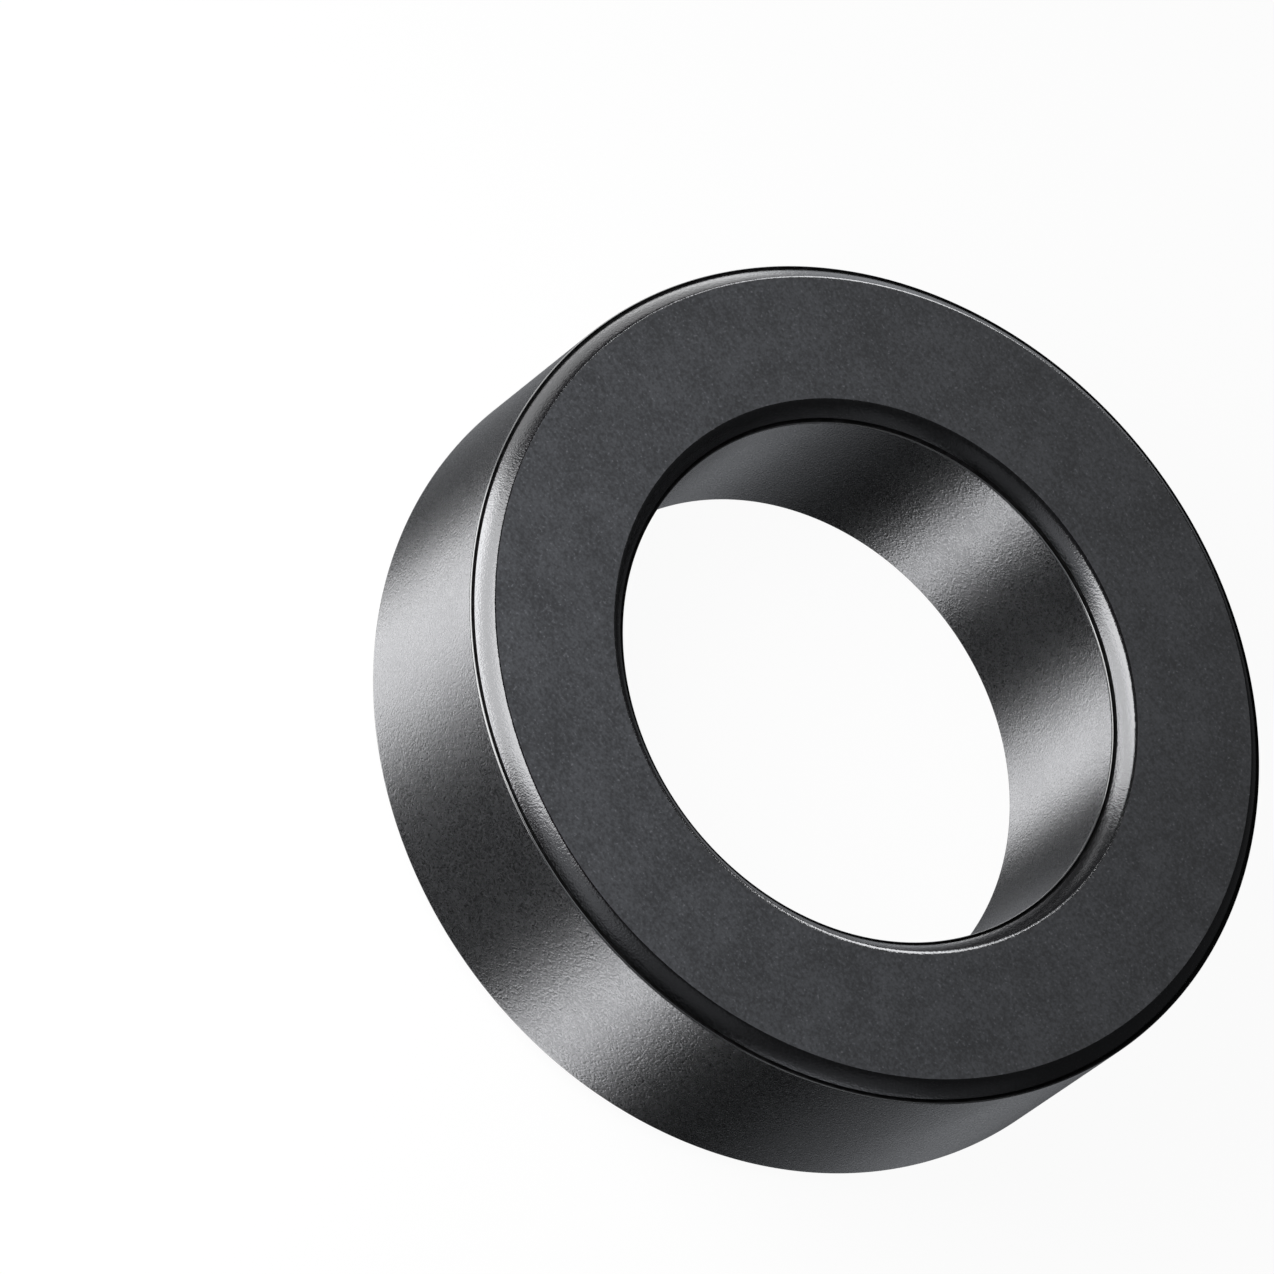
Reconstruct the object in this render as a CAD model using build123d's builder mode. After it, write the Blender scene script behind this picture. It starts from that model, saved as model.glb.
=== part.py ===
import os

from build123d import *

# Sizes are in millimetres. The ring lies flat with its axis on +Z, and the
# origin is the centre of the ground face that it lies on. The section is as
# wide as the ring is thick from its bore to its outer wall.
outer_diameter = 42.0
section_width = 8.0
height = 12.0

# The pressed edge is the same at the outer wall and at the bore, on both
# faces. From the wall towards the face it has a narrow sloping lip, a V-groove
# where the rim of the punch stood, and a crowned bevel that runs out into the
# flat ground face.
lip_width = 0.05
groove_width = 0.14
groove_depth = 0.14
bevel_width = 0.74
bevel_depth = 0.80
bevel_crown = 0.09

outer_radius = outer_diameter / 2
bore_radius = outer_radius - section_width

# Heights in the section are measured from its mid-plane, half way up the
# ring, so that the lower half is the mirror image of the drawn one.
face_height = height / 2
lip_height = face_height - bevel_depth
wall_height = lip_height - lip_width
groove_height = lip_height - groove_depth

edge_width = lip_width + groove_width + bevel_width


def draw_pressed_edge(wall_radius, inwards):
    """Draw one edge from the end of its wall to the flat face.

    inwards is the sign of the change in radius on the way from the wall into
    the body of the ring: -1 at the outer wall and 1 at the bore.
    """
    lip_top = wall_radius + inwards * lip_width
    groove_bottom = lip_top + inwards * groove_width / 2
    bevel_foot = lip_top + inwards * groove_width
    bevel_end = bevel_foot + inwards * bevel_width

    Polyline(
        (wall_radius, wall_height),
        (lip_top, lip_height),
        (groove_bottom, groove_height),
        (bevel_foot, lip_height),
    )
    SagittaArc((bevel_foot, lip_height), (bevel_end, face_height), inwards * bevel_crown)


# The ring is pressed, fired and ground as one piece, so it is one revolved
# section.
section_plane = Plane(origin=(0, 0, face_height), x_dir=(1, 0, 0), z_dir=(0, -1, 0))

with BuildPart() as ferrite_core:
    with BuildSketch(section_plane):
        with BuildLine():
            Line((outer_radius, 0), (outer_radius, wall_height))
            draw_pressed_edge(outer_radius, -1)
            Line((outer_radius - edge_width, face_height), (bore_radius + edge_width, face_height))
            draw_pressed_edge(bore_radius, 1)
            Line((bore_radius, wall_height), (bore_radius, 0))
            mirror(about=Plane.XZ)
        make_face()
    revolve(axis=Axis.Z)

ferrite_core.part.label = "ferrite_core"

os.makedirs("parts", exist_ok=True)
export_step(ferrite_core.part, "parts/ferrite_core.step")
print("ferrite_core volume in mm3:", round(ferrite_core.part.volume, 1))
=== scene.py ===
from math import asin, atan2, cos, degrees, pi, radians, sin

import bmesh
import bpy
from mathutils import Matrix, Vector


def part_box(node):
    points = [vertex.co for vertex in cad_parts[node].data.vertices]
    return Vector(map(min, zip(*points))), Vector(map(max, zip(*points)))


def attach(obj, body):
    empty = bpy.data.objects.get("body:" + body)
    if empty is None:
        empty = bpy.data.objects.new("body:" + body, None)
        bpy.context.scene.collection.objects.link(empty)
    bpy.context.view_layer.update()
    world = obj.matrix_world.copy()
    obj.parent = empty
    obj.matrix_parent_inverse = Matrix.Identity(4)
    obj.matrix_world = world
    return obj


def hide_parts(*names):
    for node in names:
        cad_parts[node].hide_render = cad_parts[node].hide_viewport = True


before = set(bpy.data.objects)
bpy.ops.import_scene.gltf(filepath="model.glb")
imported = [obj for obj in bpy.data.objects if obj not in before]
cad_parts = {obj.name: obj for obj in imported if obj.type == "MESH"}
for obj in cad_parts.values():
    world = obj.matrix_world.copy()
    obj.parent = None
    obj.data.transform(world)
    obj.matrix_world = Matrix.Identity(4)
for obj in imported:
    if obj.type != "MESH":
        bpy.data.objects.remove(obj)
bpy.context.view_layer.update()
print("frame loaded:", sorted(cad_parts))

millimetre = 0.001
samePlace = 1e-6  # points nearer than this are one
noiseMiddle = 0.5  # noise runs from 0 to 1
coreLow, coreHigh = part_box("ferrite_core")
outerRadius = (coreHigh.x - coreLow.x) / 2
coreHeight = coreHigh.z - coreLow.z
coreMiddle = Vector((0, 0, coreHeight / 2))


# Node sums written as plain Python. A wire is one output socket.
class Wire:
    def __init__(self, finish, socket):
        self.finish = finish
        self.socket = socket

    def sum(self, operation, first, second):
        return self.finish.node("ShaderNodeMath", {"operation": operation}, {0: first, 1: second})

    def __add__(self, other):
        return self.sum("ADD", self, other)

    def __sub__(self, other):
        return self.sum("SUBTRACT", self, other)

    def __rsub__(self, other):
        return self.sum("SUBTRACT", other, self)

    def __mul__(self, other):
        return self.sum("MULTIPLY", self, other)

    __radd__ = __add__
    __rmul__ = __mul__


class Finish:
    def __init__(self, tree):
        self.tree = tree
        self.tree.nodes.clear()

    # Settings go in first, then values or wires into the sockets.
    def node(self, kind, settings=None, sockets=None, output=0):
        made = self.tree.nodes.new(kind)
        for name, value in (settings or {}).items():
            setattr(made, name, value)
        for name, value in (sockets or {}).items():
            if isinstance(value, Wire):
                self.tree.links.new(value.socket, made.inputs[name])
            else:
                made.inputs[name].default_value = value
        return Wire(self, made.outputs[output]) if len(made.outputs) else None

    # Spots of about this size, in mm
    def noise(self, place, size, detail=2.0, roughness=0.5):
        sockets = {"Vector": place, "Scale": 1 / (size * millimetre), "Detail": detail,
                   "Roughness": roughness}
        return self.node("ShaderNodeTexNoise", {}, sockets)

    # 0 up to the low value, 1 from the high one, smooth between them
    def spread(self, value, low, high):
        sockets = {"Value": value, "From Min": low, "From Max": high}
        return self.node("ShaderNodeMapRange", {"interpolation_type": "SMOOTHSTEP"}, sockets)

    # A Mix node's colours are its sockets 6 and 7, and the blended one is output 2.
    def blend(self, factor, first, second):
        settings = {"data_type": "RGBA"}
        return self.node("ShaderNodeMix", settings, {"Factor": factor, 6: first, 7: second}, 2)

    # Depth in mm
    def bump(self, height, depth):
        sockets = {"Height": height, "Strength": 1.0, "Distance": depth * millimetre}
        return self.node("ShaderNodeBump", {}, sockets)

    # A Mix Shader's factor is its socket 0, and its shaders are 1 and 2.
    def mixShader(self, factor, first, second):
        return self.node("ShaderNodeMixShader", {}, {0: factor, 1: first, 2: second})


def newMaterial(name):
    material = bpy.data.materials.new(name)
    material.use_nodes = True
    return material, Finish(material.node_tree)


def closeMaterial(finish, shader):
    finish.node("ShaderNodeOutputMaterial", {}, {"Surface": shader})


# The camera looks down on the ring as it lies, and is rolled as in the
# picture. The place of the top face's centre in the picture sets the rest.
cameraView = {
    "lens": 430.0,
    "sensor": 36.0,
    "pictureSide": 1274,
    "faceCentreX": 878.1,
    "faceCentreY": 674.8,
    "distance": 0.7153,
    "tilt": 34.79,  # from the ring's axis
    "roll": 52.72,
    "clipStart": 0.05,
    "clipEnd": 10.0,
}


def addCamera():
    view = cameraView
    data = bpy.data.cameras.new("ringCamera")
    camera = bpy.data.objects.new("ringCamera", data)
    bpy.context.scene.collection.objects.link(camera)
    data.lens = view["lens"]
    data.sensor_width = view["sensor"]
    data.clip_start = view["clipStart"]
    data.clip_end = view["clipEnd"]
    camera.rotation_mode = "ZYX"  # the roll comes first, then the tilt
    camera.rotation_euler = (radians(view["tilt"]), 0, radians(view["roll"]))
    turn = camera.rotation_euler.to_matrix()
    pixelsPerSlope = view["lens"] / view["sensor"] * view["pictureSide"]
    halfSide = view["pictureSide"] / 2
    across = (view["faceCentreX"] - halfSide) / pixelsPerSlope * view["distance"]
    down = (view["faceCentreY"] - halfSide) / pixelsPerSlope * view["distance"]
    camera.location = Vector((0, 0, coreHeight)) - turn @ Vector((across, -down, -view["distance"]))
    bpy.context.scene.camera = camera


# Section of the ring, in millimetres and degrees
section = {
    "width": 8.0,
    "grooveWidth": 0.16,
    "lipFoot": 0.04,  # height of the lip's straight side in the groove
    "lipRadius": 0.14,
    "lipSlope": 50.0,
    "flatEnd": 0.04,  # keeps the long flats' shading flat up to their rounded ends
    "stepsRound": 384,
    "crownSteps": 8,
    "grooveSteps": 8,
    "cornerSteps": 5,  # round the shoulder and round the lip
    "sharpAngle": 25.0,
}

# Bevel at the outer wall and at the bore. The shoulder is the rounding between
# it and the ground face, and a slope is how far its normal has tipped up.
outerBevel = {"shoulderRadius": 0.14, "shoulderSlope": 47.5, "crown": 3.474, "footSlope": 31.17,
              "footHeight": 0.07}
boreBevel = {"shoulderRadius": 0.30, "shoulderSlope": 47.0, "crown": 2.943, "footSlope": 31.0,
             "footHeight": 0.153}


def extrudePoint(x, z):
    bpy.ops.mesh.extrude_verts_indiv()
    bpy.ops.transform.translate(value=(x, 0, z))


# Turns the selected point in the section's plane. The arc starts at a point
# whose normal tips up by startSlope, and turns down by turnDown degrees.
# outwards is 1 on the way to the outer wall and -1 on the way to the bore.
def spinPoint(outwards, radius, startSlope, turnDown, steps, hollow=False):
    here = selectedPoint()
    bend = 1 if hollow else -1
    slope = radians(startSlope)
    centre = here + Vector((outwards * cos(slope), 0, sin(slope))) * radius * bend
    turn = radians(turnDown) * bend * outwards
    bpy.ops.mesh.spin(steps=steps, angle=turn, center=centre, axis=(0, 1, 0))


def selectedPoint():
    core = bpy.context.edit_object
    points = bmesh.from_edit_mesh(core.data).verts
    return core.matrix_world @ next(point.co for point in points if point.select)


def lipWidth():
    return section["lipRadius"] * (1 - cos(radians(section["lipSlope"]))) * millimetre


def selectFaceMiddle():
    bpy.ops.mesh.select_all(action="DESELECT")
    core = bpy.context.edit_object
    for point in bmesh.from_edit_mesh(core.data).verts:
        point.select = abs(point.co.x) < samePlace
    bmesh.update_edit_mesh(core.data)


def drawEdge(bevel, outwards):
    halfWidth = section["width"] / 2 * millimetre
    grooveRadius = section["grooveWidth"] / 2 * millimetre
    lipRadius = section["lipRadius"] * millimetre
    lipSlope = section["lipSlope"]
    flatEnd = section["flatEnd"] * millimetre
    shoulder = bevel["shoulderRadius"] * millimetre
    crown = bevel["crown"] * millimetre
    shoulderSlope = bevel["shoulderSlope"]
    footSlope = bevel["footSlope"]
    bevelWidth = shoulder * cos(radians(shoulderSlope))
    bevelWidth += crown * (cos(radians(footSlope)) - cos(radians(shoulderSlope)))
    faceHalf = halfWidth - bevelWidth - 2 * grooveRadius - lipWidth()

    extrudePoint(outwards * (faceHalf - flatEnd), 0)
    extrudePoint(outwards * flatEnd, 0)
    spinPoint(outwards, shoulder, 90, 90 - shoulderSlope, section["cornerSteps"])
    spinPoint(outwards, crown, shoulderSlope, shoulderSlope - footSlope, section["crownSteps"])
    extrudePoint(0, -bevel["footHeight"] * millimetre)
    spinPoint(outwards, grooveRadius, 0, 180, section["grooveSteps"], hollow=True)
    extrudePoint(0, section["lipFoot"] * millimetre)
    spinPoint(outwards, lipRadius, lipSlope, lipSlope, section["cornerSteps"])
    extrudePoint(0, -flatEnd)
    extrudePoint(0, coreHeight / 2 - selectedPoint().z)


# Upper half of the section, from the middle of the ground face to each wall
def drawHalfSection():
    middle = Vector((outerRadius - section["width"] / 2 * millimetre, 0, coreHeight / 2))
    bpy.ops.mesh.primitive_plane_add(size=millimetre, location=middle)
    core = bpy.context.object
    bpy.ops.object.mode_set(mode="EDIT")
    bpy.ops.mesh.select_all(action="SELECT")
    bpy.ops.mesh.merge(type="CENTER")
    bpy.ops.transform.translate(value=(0, 0, coreHeight / 2))
    drawEdge(outerBevel, 1)
    selectFaceMiddle()
    drawEdge(boreBevel, -1)
    bpy.ops.object.mode_set(mode="OBJECT")
    return core


def finishEdges(core):
    mirror = core.modifiers.new("lowerHalf", "MIRROR")
    mirror.use_axis = (False, False, True)
    mirror.merge_threshold = samePlace
    bpy.ops.object.modifier_apply(modifier=mirror.name)
    bpy.ops.object.transform_apply(location=True, rotation=True, scale=True)
    bpy.ops.object.mode_set(mode="EDIT")
    bpy.ops.mesh.select_all(action="SELECT")
    bpy.ops.mesh.spin(steps=section["stepsRound"], angle=2 * pi, center=(0, 0, 0), axis=(0, 0, 1))
    bpy.ops.mesh.select_all(action="SELECT")
    bpy.ops.mesh.remove_doubles(threshold=samePlace)
    bpy.ops.mesh.normals_make_consistent(inside=False)
    bpy.ops.object.mode_set(mode="OBJECT")
    bpy.ops.object.shade_smooth_by_angle(angle=radians(section["sharpAngle"]))


def buildCore():
    bpy.ops.object.select_all(action="DESELECT")
    core = drawHalfSection()
    finishEdges(core)
    core.name = "pressedRingCore"
    core.data.name = "pressedRingCore"
    return core


# Ground face: matte, mottled, with the grinder's fine grain. Sizes in mm. A
# share is how much of a mix a noise makes, a swing how far it moves the
# roughness, and a pair the noise values at which a blend starts and ends.
groundFaceLook = {
    "dark": (0.0168, 0.0178, 0.0203, 1),
    "light": (0.0426, 0.0450, 0.0506, 1),
    "fleck": (0.080, 0.083, 0.092, 1),
    "grain": 0.25,
    "speck": 0.13,
    "cloud": 1.6,
    "grainShare": 0.46,
    "speckShare": 0.30,
    "cloudShare": 0.24,
    "mottle": (0.36, 0.64),  # from dark to light
    "flecks": (0.66, 0.80),
    "bumpGrainShare": 0.7,
    "bumpSpeckShare": 0.3,
    "grainSwing": 0.15,
    "roughness": 0.66,
    "ior": 1.45,
    "bumpDepth": 0.006,
}


def groundFaceFinish():
    look = groundFaceLook
    material, finish = newMaterial("groundFerriteFace")
    place = finish.node("ShaderNodeTexCoord", output="Object")
    grain = finish.noise(place, look["grain"], detail=3.0, roughness=0.6)
    speck = finish.noise(place, look["speck"], detail=1.0)
    cloud = finish.noise(place, look["cloud"])
    mottle = look["grainShare"] * grain + look["speckShare"] * speck + look["cloudShare"] * cloud
    ground = finish.blend(finish.spread(mottle, *look["mottle"]), look["dark"], look["light"])
    colour = finish.blend(finish.spread(speck, *look["flecks"]), ground, look["fleck"])
    height = look["bumpGrainShare"] * grain + look["bumpSpeckShare"] * speck
    shader = finish.node("ShaderNodeBsdfPrincipled", {}, {
        "Base Color": colour, "Roughness": look["roughness"] + look["grainSwing"] * (grain - noiseMiddle),
        "IOR": look["ior"], "Normal": finish.bump(height, look["bumpDepth"])})
    closeMaterial(finish, shader)
    return material


# Pressed wall: satin, near black, with the press tool's sand grain
wallLook = {
    "pit": (0.006, 0.0062, 0.0068, 1),
    "sand": (0.020, 0.0204, 0.0222, 1),
    "grain": 0.20,
    "speck": 0.10,
    "cloud": 3.5,
    "grainShare": 0.6,
    "speckShare": 0.4,
    "sanding": (0.38, 0.64),  # from pit to sand
    "cloudSwing": 0.08,
    "speckSwing": 0.20,
    "roughness": 0.28,
    "ior": 2.33,
    "tint": (0.955, 0.96, 1.0, 1),
    "bumpDepth": 0.019,
}


def wallFinish():
    look = wallLook
    material, finish = newMaterial("pressedFerriteWall")
    place = finish.node("ShaderNodeTexCoord", output="Object")
    grain = finish.noise(place, look["grain"], roughness=0.6)
    speck = finish.noise(place, look["speck"], detail=1.0)
    cloud = finish.noise(place, look["cloud"], detail=3.0)
    sand = look["grainShare"] * grain + look["speckShare"] * speck
    colour = finish.blend(finish.spread(sand, *look["sanding"]), look["pit"], look["sand"])
    roughness = look["roughness"] + look["cloudSwing"] * (cloud - noiseMiddle)
    roughness = roughness + look["speckSwing"] * (speck - noiseMiddle)
    shader = finish.node("ShaderNodeBsdfPrincipled", {}, {
        "Base Color": colour, "Roughness": roughness, "IOR": look["ior"],
        "Specular Tint": look["tint"], "Normal": finish.bump(sand, look["bumpDepth"])})
    closeMaterial(finish, shader)
    return material


# Bevel: smoother than the wall, pitted
bevelLook = {
    "pit": (0.001, 0.001, 0.0011, 1),
    "plain": (0.004, 0.0041, 0.0044, 1),
    "grain": 0.17,
    "speck": 0.085,
    "grainShare": 0.6,
    "speckShare": 0.4,
    "pitting": (0.38, 0.62),  # from pit to plain
    "speckSwing": 0.15,
    "roughness": 0.20,
    "ior": 2.33,
    "tint": (0.97, 0.975, 1.0, 1),
    "bumpDepth": 0.014,
}


def bevelFinish():
    look = bevelLook
    material, finish = newMaterial("pressedFerriteBevel")
    place = finish.node("ShaderNodeTexCoord", output="Object")
    grain = finish.noise(place, look["grain"], roughness=0.6)
    speck = finish.noise(place, look["speck"], detail=1.0)
    pits = look["grainShare"] * grain + look["speckShare"] * speck
    colour = finish.blend(finish.spread(pits, *look["pitting"]), look["pit"], look["plain"])
    shader = finish.node("ShaderNodeBsdfPrincipled", {}, {
        "Base Color": colour, "Roughness": look["roughness"] + look["speckSwing"] * (speck - noiseMiddle),
        "IOR": look["ior"], "Specular Tint": look["tint"], "Normal": finish.bump(pits, look["bumpDepth"])})
    closeMaterial(finish, shader)
    return material


# Lip at the wall's edge, smooth, and paler than the wall as a painted highlight line
lipLook = {"colour": (0.034, 0.035, 0.037, 1), "roughness": 0.16, "ior": 2.5}


def lipFinish():
    look = lipLook
    material, finish = newMaterial("paleLipPaintedHighlight")
    # The lip's pale colour is a painted highlight
    closeMaterial(finish, finish.node("ShaderNodeBsdfPrincipled", {}, {
        "Base Color": look["colour"], "Roughness": look["roughness"], "IOR": look["ior"]}))
    return material


# Groove: near black, painted shade in the recess, mottled a little
grooveLook = {
    "dark": (0.002, 0.002, 0.002, 1),
    "lighterShade": (0.006, 0.006, 0.0065, 1),
    "grain": 0.5,
    # both groove colours are painted shade
    "shadeMottle": (0.4, 0.65),  # from dark to dusty
    "roughness": 0.9,
    "ior": 1.2,
}


def grooveFinish():
    look = grooveLook
    material, finish = newMaterial("grooveWithPaintedShade")
    place = finish.node("ShaderNodeTexCoord", output="Object")
    grain = finish.noise(place, look["grain"], roughness=0.6)
    # The groove's colour is painted shade, darker than what its depth alone would give
    colour = finish.blend(finish.spread(grain, *look["shadeMottle"]), look["dark"], look["lighterShade"])
    shader = finish.node("ShaderNodeBsdfPrincipled", {}, {
        "Base Color": colour, "Roughness": look["roughness"], "IOR": look["ior"]})
    closeMaterial(finish, shader)
    return material


# A level polygon gets the ground finish. The others get theirs by how far they
# lie from the nearer wall.
def dressCore(core):
    finishes = [groundFaceFinish(), wallFinish(), bevelFinish(), grooveFinish(), lipFinish()]
    for finish in finishes:
        core.data.materials.append(finish)
    groundFace, wall, bevel, groove, lip = range(len(finishes))
    halfWidth = section["width"] / 2 * millimetre
    middleRadius = outerRadius - halfWidth
    lipEnd = lipWidth()
    grooveEnd = lipEnd + section["grooveWidth"] * millimetre
    slack = lipEnd / 50
    levelNormal = 0.999
    for face in core.data.polygons:
        fromWall = halfWidth - abs(face.center.xy.length - middleRadius)
        if abs(face.normal.z) > levelNormal:
            face.material_index = groundFace
        elif fromWall < slack:
            face.material_index = wall
        elif fromWall < lipEnd - slack:
            face.material_index = lip
        elif fromWall < grooveEnd + slack:
            face.material_index = groove
        else:
            face.material_index = bevel


# Directions are given as seen from the ring: azimuth 0 is the camera's side
# and 90 is +X. Angles in degrees, distances in metres.
def towards(azimuth, elevation):
    around = radians(azimuth)
    up = radians(elevation)
    return Vector((sin(around) * cos(up), -cos(around) * cos(up), sin(up)))


# Softboxes that the gloss alone sees. The near softbox lights what is matte.
softboxes = {
    "keySoftbox": {"azimuth": -60, "elevation": 22, "distance": 0.7, "width": 0.80, "height": 1.0,
                   "brightness": 2.2},
    "keyHead": {"azimuth": -48, "elevation": 42, "distance": 0.69, "width": 0.64, "height": 0.36,
                "brightness": 1.1},
    "keyFoot": {"azimuth": -58, "elevation": -5, "distance": 0.68, "width": 0.92, "height": 0.28,
                "brightness": 2.2},
    "rimSoftbox": {"azimuth": -130, "elevation": -27, "distance": 0.7, "width": 0.50, "height": 0.22,
                   "brightness": 1.1},
    "lowLeftSoftbox": {"azimuth": -83, "elevation": -55, "distance": 0.32, "width": 0.142, "height": 0.137,
                       "brightness": 2.45},
    "lowRightSoftbox": {"azimuth": 24, "elevation": -55, "distance": 0.22, "width": 0.052, "height": 0.094,
                        "brightness": 2.8},
    "farStrip": {"azimuth": -160, "elevation": 25, "distance": 0.7, "width": 0.23, "height": 0.58,
                 "brightness": 3.4},
    "boreStrip": {"azimuth": -33, "elevation": -21, "distance": 0.7, "width": 0.40, "height": 0.17,
                  "brightness": 2.6},
}


# Near softbox for the floor and the matte face, which the gloss doesn't see.
# It lights them at about the level at which a colour looks as it is written.
nearSoftbox = {"azimuth": -45, "elevation": 37, "distance": 0.082, "width": 0.066, "height": 0.066,
               "brightness": 6.0}

lampPower = 4  # watts for each square metre of a lamp and unit of its brightness


def hangLamp(name, box):
    data = bpy.data.lights.new(name, "AREA")
    data.shape = "RECTANGLE"
    data.size = box["width"]
    data.size_y = box["height"]
    data.energy = lampPower * box["width"] * box["height"] * box["brightness"]
    lamp = bpy.data.objects.new(name, data)
    bpy.context.scene.collection.objects.link(lamp)
    away = towards(box["azimuth"], box["elevation"])
    lamp.location = coreMiddle + away * box["distance"]
    lamp.rotation_mode = "QUATERNION"
    lamp.rotation_quaternion = away.to_track_quat("Z", "Y")
    lamp.visible_camera = False
    return lamp


def addSoftboxes():
    for name, box in softboxes.items():
        lamp = hangLamp(name, box)
        lamp.visible_diffuse = False
    lamp = hangLamp("nearSoftbox", nearSoftbox)
    lamp.visible_glossy = False


# Cloth tent round the ring, seen by its gloss alone: black, with grey panels
# and windows that let the white surroundings in. Each panel has its azimuth
# from and to, its elevation from and to, and its brightness; 1 is a window.
clothTent = {
    "radius": 1.2,
    "segments": 72,  # faces of 5 degrees, so the panels' limits act in fives
    "rings": 36,
    "tint": (0.93, 0.955, 1.0, 1),
    "panels": [
        (-150, -115, -40, 0, 1.0),
        (-150, -115, 0, 50, 0.05),
        (-115, -95, -40, 4, 1.0),
        (-115, -95, 4, 50, 0.08),
        (-165, -150, -45, -15, 0.70),
        (-165, -150, -15, 50, 0.5),
        (-180, -165, -38, -15, 0.40),
        (-180, -165, -15, 30, 0.25),
        (175, 180, -38, -25, 0.20),
        (150, 175, -38, -25, 0.04),
        (-180, 180, -90, -75, 1.0),
        (115, 150, -75, -38, 0.45),
        (150, 180, -75, -38, 0.12),
        (-180, -168, -75, -38, 0.07),
        (-168, -150, -75, -38, 0.35),
        (-150, -125, -75, -38, 0.11),
        (85, 115, -75, -38, 0.15),
        (45, 55, -10, 5, 0.6),
        (55, 70, -12, 0, 0.95),
        (70, 85, -15, -5, 0.6),
        (55, 80, 0, 20, 0.12),
        (-30, 45, -15, 15, 0.0),
        (-30, 12, 15, 40, 0.42),
        (12, 45, 15, 40, 0.12),
        (55, 100, -15, 12, 0.07),
        (-180, 180, -38, 90, 0.03),
    ],
}


def tentPanel(face):
    away = face.calc_center_median().normalized()
    azimuth = degrees(atan2(away.x, -away.y))
    elevation = degrees(asin(away.z))
    for azFrom, azTo, elFrom, elTo, brightness in clothTent["panels"]:
        if azFrom < azimuth < azTo and elFrom < elevation < elTo:
            return brightness
    return 0.0


def clothMaterial(brightness):
    material, finish = newMaterial("tentCloth")
    strength = {"Color": clothTent["tint"], "Strength": brightness}
    closeMaterial(finish, finish.node("ShaderNodeEmission", {}, strength))
    material.cycles.emission_sampling = "NONE"
    return material


def addClothTent():
    bpy.ops.object.select_all(action="DESELECT")
    bpy.ops.mesh.primitive_uv_sphere_add(
        segments=clothTent["segments"], ring_count=clothTent["rings"],
        radius=clothTent["radius"], location=coreMiddle)
    tent = bpy.context.object
    tent.name = "clothTent"
    shades = sorted({0.0} | {panel[-1] for panel in clothTent["panels"]})
    for shade in shades:
        tent.data.materials.append(clothMaterial(shade))
    bpy.ops.object.mode_set(mode="EDIT")
    bpy.ops.mesh.select_all(action="DESELECT")
    cloth = bmesh.from_edit_mesh(tent.data)
    for face in cloth.faces:
        shade = tentPanel(face)
        face.material_index = shades.index(shade)
        face.select = shade == 1.0  # a window
    bmesh.update_edit_mesh(tent.data)
    bpy.ops.mesh.delete(type="FACE")
    bpy.ops.object.mode_set(mode="OBJECT")
    tent.visible_camera = False
    tent.visible_diffuse = False
    tent.visible_transmission = False
    tent.visible_shadow = False


# Pale floor. To the camera, part of its white is its own, so that the ring's
# shadow on it stays light. The lamps under it shine up past it.
floorLook = {"side": 12.0, "colour": (0.85, 0.85, 0.85, 1), "ownWhite": 0.95}


def addFloor():
    bpy.ops.object.select_all(action="DESELECT")
    bpy.ops.mesh.primitive_plane_add(size=floorLook["side"], location=(0, 0, 0))
    floor = bpy.context.object
    floor.name = "paleFloor"
    material, finish = newMaterial("palePaper")
    paper = finish.node("ShaderNodeBsdfDiffuse", {}, {"Color": floorLook["colour"]})
    white = finish.node("ShaderNodeEmission", {}, {"Color": (1, 1, 1, 1), "Strength": 1.0})
    share = floorLook["ownWhite"] * seenRays(finish)
    closeMaterial(finish, finish.mixShader(share, paper, white))
    floor.data.materials.append(material)
    floor.visible_glossy = False
    floor.visible_shadow = False


# 1 for the rays that see the background: the camera's, and those that come
# off gloss or through glass
def seenRays(finish):
    path = finish.node("ShaderNodeLightPath")
    outputs = path.socket.node.outputs
    camera = Wire(finish, outputs["Is Camera Ray"])
    glossy = Wire(finish, outputs["Is Glossy Ray"])
    through = Wire(finish, outputs["Is Transmission Ray"])
    seen = camera + glossy
    return seen.sum("MAXIMUM", seen, through)


surroundings = {"white": 1.0, "ambient": 0.2}


def addSurroundings():
    world = bpy.data.worlds.new("whiteStudio")
    bpy.context.scene.world = world
    world.use_nodes = True
    finish = Finish(world.node_tree)
    ambient = finish.node("ShaderNodeBackground", {}, {
        "Color": (1, 1, 1, 1), "Strength": surroundings["ambient"]})
    white = finish.node("ShaderNodeBackground", {}, {
        "Color": (1, 1, 1, 1), "Strength": surroundings["white"]})
    both = finish.mixShader(seenRays(finish), ambient, white)
    finish.node("ShaderNodeOutputWorld", {}, {"Surface": both})


addCamera()
core = buildCore()
print("ring modelled:", len(core.data.polygons), "faces")
dressCore(core)
print("finishes laid on")
addFloor()
addClothTent()
addSoftboxes()
addSurroundings()
bpy.context.scene.view_settings.view_transform = "Standard"
print("studio set")

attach(core, "root")
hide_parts("ferrite_core")
